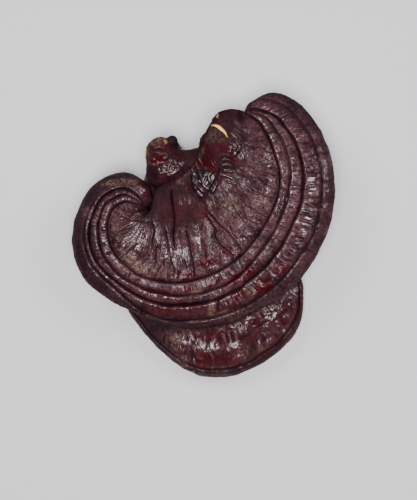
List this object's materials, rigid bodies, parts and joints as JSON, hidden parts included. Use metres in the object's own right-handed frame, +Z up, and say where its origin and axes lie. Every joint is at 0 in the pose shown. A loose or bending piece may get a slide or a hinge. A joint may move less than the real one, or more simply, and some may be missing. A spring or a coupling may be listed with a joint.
{
  "type": "reishi mushroom",
  "caption": "Dried reishi mushroom: varnished kidney-shaped caps with concentric ridges, stacked one above the other on a short knobbly stem with a flat cut.",
  "frame": {"origin": "middle of the stem's flat cut face, on the surface that the mushroom rests on", "axes": "+X to the picture's right, +Y to the picture's top, +Z up from the resting surface, towards the camera"},
  "size_m": [0.1197, 0.1317, 0.0415],
  "materials": {
    "stem": "dark red, glossy natural varnish",
    "upper_cap": "maroon-brown, satin to glossy natural crust",
    "lower_cap": "maroon-brown, glossy natural crust"
  },
  "bodies": {
    "root": {"stem": "stem", "upper_cap": "upper_cap", "lower_cap": "lower_cap"}
  },
  "joints": []
}
